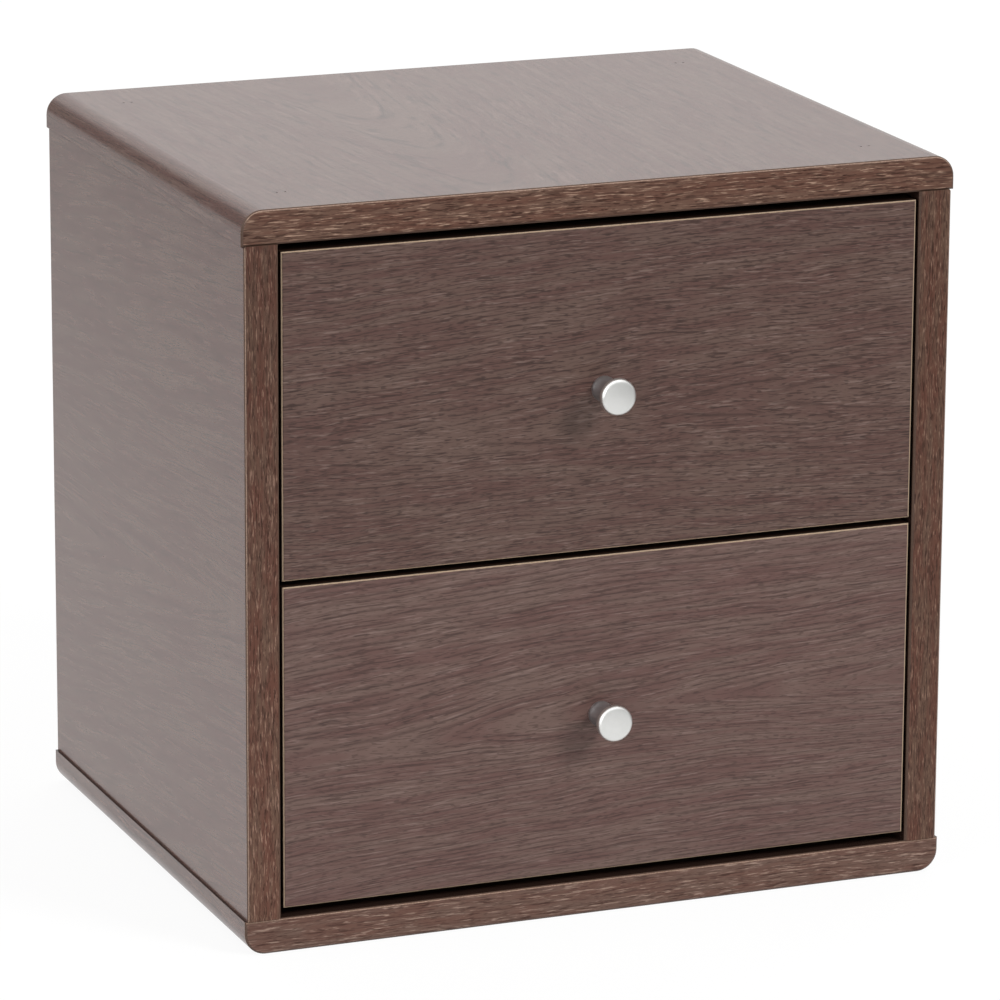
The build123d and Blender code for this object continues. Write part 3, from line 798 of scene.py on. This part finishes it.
def metalMaterial(name, look, face=None):
    # With the middle of its face given, the piece has turned rings and a rougher neck, drawn darker there as
    # painted shade
    material, add = startMaterial(name)
    spot = add("ShaderNodeTexCoord")
    place = add("ShaderNodeVectorMath", {"operation": "SCALE", "Scale": 1 / mm}, {
        0: spot.outputs["Object"]})
    cloud = lumps(add, place, (look["lump"],) * 3, metalLay["cloudSeed"], detail=2.0)
    colour = add("ShaderNodeMix", {
        "data_type": "RGBA", "A": linear(look["pale"]), "B": linear(look["dark"])}, {"Factor": cloud})
    low, high = look["roughness"]
    rough = add("ShaderNodeMapRange", {"To Min": low, "To Max": high}, {"Value": cloud})
    height = lumps(add, place, (metalLay["speck"],) * 3, metalLay["speckSeed"], detail=1.0)
    if face is not None:
        away = add("ShaderNodeVectorMath", {"operation": "SUBTRACT", 1: face / mm}, {0: place})
        away = add("ShaderNodeVectorMath", {"operation": "MULTIPLY", 1: (1, 0, 1)}, {0: away})
        radius = add("ShaderNodeVectorMath", {"operation": "LENGTH"}, {0: away})
        height = add("ShaderNodeTexNoise", {
            "noise_dimensions": "1D", "Scale": 1 / look["ringWidth"], "Detail": 1.0}, {
            "W": radius.outputs["Value"]})
        back = add("ShaderNodeSeparateXYZ", {}, {0: place})
        neck = face.y / mm + look["headDepth"]
        neck = add("ShaderNodeMapRange", {
            "From Min": neck - look["neckFade"], "From Max": neck + look["neckFade"]}, {
            "Value": back.outputs["Y"]})
        rough = add("ShaderNodeMix", {"B": look["neckRoughness"]}, {"Factor": neck, "A": rough})
        # painted shade on the neck
        colour = add("ShaderNodeMix", {"data_type": "RGBA", "B": linear(look["shadedNeckColour"])}, {
            "Factor": neck, "A": colour})
    bump = add("ShaderNodeBump", {"Strength": look["bump"], "Distance": metalLay["grooveDepth"] * mm}, {
        "Height": height})
    shader = add("ShaderNodeBsdfPrincipled", {"Metallic": 1.0}, {
        "Base Color": colour, "Roughness": rough, "Normal": bump})
    add("ShaderNodeOutputMaterial", {}, {"Surface": shader})
    return material


# How any fitting is turned
turningLay = {
    "hub": 0.02,  # mm, a small path for the sweep, taken off the profile again
    "weld": 0.1,  # share of the hub within which points are one
    "softAngle": 32,  # degrees, edges flatter than this are shaded smooth
    "seed": 5,  # for the angle that each cross stops at
}


def turningTree():
    # Turns a profile round its axis, cuts a cross in its end and sets it on every point, as the point faces
    tree = bpy.data.node_groups.new("turnedFittings", "GeometryNodeTree")
    for name, kind in (
        ("Points", "NodeSocketGeometry"),
        ("Profile", "NodeSocketObject"),
        ("Steps Around", "NodeSocketInt"),
        ("Cross", "NodeSocketBool"),
        ("Cross Size", "NodeSocketFloat"),
        ("Cross Width", "NodeSocketFloat"),
        ("Cross Depth", "NodeSocketFloat"),
        ("End Height", "NodeSocketFloat"),
        ("Material", "NodeSocketMaterial"),
    ):
        tree.interface.new_socket(name, in_out="INPUT", socket_type=kind)
    tree.interface.new_socket("Fittings", in_out="OUTPUT", socket_type="NodeSocketGeometry")
    add = partial(addNode, tree)
    given = add("NodeGroupInput").outputs
    hub = turningLay["hub"] * mm
    profile = add("GeometryNodeObjectInfo", {"transform_space": "ORIGINAL"}, {"Object": given["Profile"]})
    curve = add("GeometryNodeMeshToCurve", {}, {"Mesh": profile.outputs["Geometry"]})
    curve = add("GeometryNodeTransform", {"Translation": (-hub, 0, 0), "Scale": (1, -1, 1)}, {
        "Geometry": curve})
    path = add("GeometryNodeCurvePrimitiveCircle", {"Radius": hub}, {"Resolution": given["Steps Around"]})
    body = add("GeometryNodeCurveToMesh", {}, {"Curve": path, "Profile Curve": curve})
    body = add("GeometryNodeMergeByDistance", {"Distance": turningLay["weld"] * hub}, {"Geometry": body})

    end = add("ShaderNodeCombineXYZ", {}, {"Z": given["End Height"]})
    deep = add("ShaderNodeMath", {"operation": "MULTIPLY", 1: 2.0}, {0: given["Cross Depth"]})
    arms = []
    for long, short in (("X", "Y"), ("Y", "X")):
        extent = add("ShaderNodeCombineXYZ", {}, {
            long: given["Cross Size"], short: given["Cross Width"], "Z": deep})
        arm = add("GeometryNodeMeshCube", {}, {"Size": extent})
        arms.append(add("GeometryNodeTransform", {}, {"Geometry": arm, "Translation": end}))
    crossed = add("GeometryNodeMeshBoolean", {"operation": "DIFFERENCE", "solver": "EXACT"}, {
        "Mesh 1": body, "Mesh 2": arms})
    body = add("GeometryNodeSwitch", {"input_type": "GEOMETRY"}, {
        "Switch": given["Cross"], "False": body, "True": crossed.outputs["Mesh"]})

    body = add("GeometryNodeSetShadeSmooth", {"domain": "FACE"}, {"Geometry": body})
    angle = add("GeometryNodeInputMeshEdgeAngle")
    soft = add("FunctionNodeCompare", {
        "operation": "LESS_THAN", "B": math.radians(turningLay["softAngle"])}, {
        "A": angle.outputs["Unsigned Angle"]})
    body = add("GeometryNodeSetShadeSmooth", {"domain": "EDGE"}, {"Geometry": body, "Shade Smooth": soft})

    facing = add("GeometryNodeInputNamedAttribute", {"data_type": "FLOAT_VECTOR", "Name": "facing"})
    turn = add("FunctionNodeAlignRotationToVector", {"axis": "Z"}, {"Vector": facing})
    stop = add("FunctionNodeRandomValue", {
        "data_type": "FLOAT", "Max": math.tau, "Seed": turningLay["seed"]})
    stop = add("FunctionNodeAxisAngleToRotation", {"Axis": (0, 0, 1)}, {"Angle": stop})
    turn = add("FunctionNodeRotateRotation", {"rotation_space": "LOCAL"}, {
        "Rotation": turn, "Rotate By": stop})
    placed = add("GeometryNodeInstanceOnPoints", {}, {
        "Points": given["Points"], "Instance": body, "Rotation": turn})
    placed = add("GeometryNodeRealizeInstances", {}, {"Geometry": placed})
    placed = add("GeometryNodeSetMaterial", {}, {"Geometry": placed, "Material": given["Material"]})
    add("NodeGroupOutput", {}, {"Fittings": placed})
    return tree


def turnedPiece(name, tree, piece):
    # Grows the piece from its points and leaves a plain mesh
    outline = bpy.data.meshes.new(name + "_profile")
    corners = [(r * mm, z * mm, 0) for r, z in piece["profile"]]
    outline.from_pydata(corners, [(i, i + 1) for i in range(len(corners) - 1)], [])
    profile = bpy.data.objects.new(name + "_profile", outline)
    points = bpy.data.meshes.new(name)
    points.from_pydata(piece["places"], [], [])
    facing = points.attributes.new("facing", "FLOAT_VECTOR", "POINT")
    for i, way in enumerate(piece["facing"]):
        facing.data[i].vector = way
    made = bpy.data.objects.new(name, points)
    for one in (profile, made):
        bpy.context.scene.collection.objects.link(one)
    grow = made.modifiers.new("grow", "NODES")
    grow.node_group = tree
    inputs = dict(piece["inputs"], Profile=profile, Material=piece["material"])
    for item in tree.interface.items_tree:
        if item.in_out == "INPUT" and item.name in inputs:
            grow[item.identifier] = inputs[item.name]
    graph = bpy.context.evaluated_depsgraph_get()
    grown = bpy.data.meshes.new_from_object(made.evaluated_get(graph))
    made.modifiers.remove(grow)
    made.data = grown
    bpy.data.objects.remove(profile)
    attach(made, piece["body"])
    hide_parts(piece["node"])


def arc(centre, radius, start, stop, steps):
    # Points on a circle, from one angle to another in degrees
    turns = [math.radians(start + (stop - start) * i / steps) for i in range(steps + 1)]
    return [(centre[0] + radius * math.cos(t), centre[1] + radius * math.sin(t)) for t in turns]


def arcThrough(first, second, third, steps):
    # The arc from the first point through the second to the third
    (ax, ay), (bx, by), (cx, cy) = first, second, third
    d = 2 * (ax * (by - cy) + bx * (cy - ay) + cx * (ay - by))
    a, b, c = ax * ax + ay * ay, bx * bx + by * by, cx * cx + cy * cy
    ux = (a * (by - cy) + b * (cy - ay) + c * (ay - by)) / d
    uy = (a * (cx - bx) + b * (ax - cx) + c * (bx - ax)) / d
    start = math.degrees(math.atan2(ay - uy, ax - ux)) % 360
    stop = math.degrees(math.atan2(cy - uy, cx - ux)) % 360
    return arc((ux, uy), math.hypot(ax - ux, ay - uy), start, stop, steps)


# Turned knob: foot, hollowed neck, sloped underside and a slightly domed head
knob = {
    "length": 19.5,
    "baseRadius": 6.0,
    "foot": 1.5,
    "waistRadius": 5.2,
    "waistHeight": 7.0,
    "flareRadius": 6.4,
    "headRadius": 8.5,
    "headThickness": 5.0,
    "underSlope": 1.0,
    "dome": 0.8,
    "rimRound": 2.2,
    "neckSteps": 24,
    "rimSteps": 14,
    "domeSteps": 16,
}


def knobProfile():
    headBase = knob["length"] - knob["headThickness"]
    neck = arcThrough(
        (knob["baseRadius"], knob["foot"]), (knob["waistRadius"], knob["waistHeight"]),
        (knob["flareRadius"], headBase), knob["neckSteps"])
    domeRadius = (knob["headRadius"] ** 2 + knob["dome"] ** 2) / (2 * knob["dome"])
    domeMiddle = knob["length"] - domeRadius
    rimMiddle = knob["headRadius"] - knob["rimRound"]
    rimHeight = domeMiddle + math.sqrt((domeRadius - knob["rimRound"]) ** 2 - rimMiddle ** 2)
    lean = math.degrees(math.atan2(rimHeight - domeMiddle, rimMiddle))
    rim = arc((rimMiddle, rimHeight), knob["rimRound"], 0, lean, knob["rimSteps"])
    dome = arc((0, domeMiddle), domeRadius, lean, 90, knob["domeSteps"])
    under = (knob["headRadius"], headBase + knob["underSlope"])
    return [(0, 0), (knob["baseRadius"], 0), *neck, under, *rim, *dome[1:]]


# Countersunk and pan-head screws with a cross recess and a rolled thread
screw = {
    "headRadius": 3.5,
    "radius": 1.75,
    "tip": 3.0,
    "pitch": 1.6,
    "threadDepth": 0.35,
    "runnerLength": 20.0,
    "runnerInset": 30.0,  # from each end of a runner to its outer screws
    "backLength": 35.0,
}
panScrew = {
    "headRadius": 4.0,
    "headHeight": 2.4,
    "headRound": 1.2,
    "headSteps": 8,
    "radius": 2.0,
    "length": 21.0,
    "pitch": 0.8,
    "threadDepth": 0.3,
}


def thread(radius, deep, start, stop, pitch):
    # Crests and roots from one depth down to another
    turns = int((start - stop) / pitch)
    return [(radius - deep * (i % 2), start - i * pitch / 2) for i in range(2 * turns + 1)]


def screwProfile(length):
    neck = screw["radius"] - screw["headRadius"]
    ridges = thread(screw["radius"], screw["threadDepth"], neck, screw["tip"] - length, screw["pitch"])
    return [(0, -length), *reversed(ridges), (screw["headRadius"], 0), (0, 0)]


def panProfile():
    top, edge, soft = panScrew["headHeight"], panScrew["headRadius"], panScrew["headRound"]
    ridges = thread(panScrew["radius"], panScrew["threadDepth"], 0, -panScrew["length"], panScrew["pitch"])
    rim = arc((edge - soft, top - soft), soft, 0, 90, panScrew["headSteps"])
    return [(0, -panScrew["length"]), *reversed(ridges), (edge, 0), *rim, (0, top)]


turning = turningTree()
plated = metalMaterial("zincPlatedSteel", steel)
cast = metalMaterial("dieCastZinc", castZinc)
for owner in ("carcass", "upper_drawer", "lower_drawer"):
    cadNodes[owner + "_cam_bolts"].data.materials[0] = plated
    cadNodes[owner + "_cam_discs"].data.materials[0] = cast
plainEnd = {"Steps Around": 96, "Cross": False}
crossEnd = {"Steps Around": 40, "Cross": True, "Cross Size": 3.4 * mm, "Cross Width": 0.9 * mm,
            "Cross Depth": 1.5 * mm, "End Height": 0.0}
turned = {
    "runnerScrews": {
        "body": "carcass", "node": "runner_screws", "slot": "screw_steel", "material": plated,
        "profile": screwProfile(screw["runnerLength"]), "inputs": crossEnd, "places": [], "facing": [],
    },
}
for level in ("lower", "upper"):
    for side, inward in (("left", 1), ("right", -1)):
        low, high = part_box(f"{level}_{side}_runner")
        middle = (low + high) / 2
        inner = middle.x + inward * (high.x - low.x) / 2
        inset = screw["runnerInset"] * mm
        for y in (low.y + inset, middle.y, high.y - inset):
            turned["runnerScrews"]["places"].append((inner, y, middle.z))
            turned["runnerScrews"]["facing"].append((inward, 0, 0))

    drawer = level + "_drawer"
    low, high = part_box(drawer + "_knob")
    face = Vector(((low.x + high.x) / 2, low.y, (low.z + high.z) / 2))
    turned[level + "Knob"] = {
        "body": drawer, "node": drawer + "_knob", "slot": "knob_metal",
        "material": metalMaterial("satinNickel_" + level, nickel, face),
        "profile": knobProfile(), "inputs": plainEnd,
        "places": [(face.x, high.y, face.z)], "facing": [(0, -1, 0)],
    }
    low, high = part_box(drawer + "_knob_screw")
    headHeight = panScrew["headHeight"] * mm
    turned[level + "KnobScrew"] = {
        "body": drawer, "node": drawer + "_knob_screw", "slot": "screw_steel", "material": plated,
        "profile": panProfile(), "inputs": dict(crossEnd, **{"End Height": headHeight}),
        "places": [(face.x, high.y - headHeight, face.z)], "facing": [(0, 1, 0)],
    }
    low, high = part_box(drawer + "_back_screws")
    headRadius = screw["headRadius"] * mm
    corners = [(x, z) for z in (low.z + headRadius, high.z - headRadius) for x in (low.x, high.x)]
    turned[level + "BackScrews"] = {
        "body": drawer, "node": drawer + "_back_screws", "slot": "screw_steel", "material": plated,
        "profile": screwProfile(screw["backLength"]), "inputs": crossEnd,
        "places": [(x, (low.y + high.y) / 2, z) for x, z in corners],
        "facing": [(math.copysign(1, x), 0, 0) for x, z in corners],
    }
for name, piece in turned.items():
    turnedPiece(name, turning, piece)
print("turned fittings made")
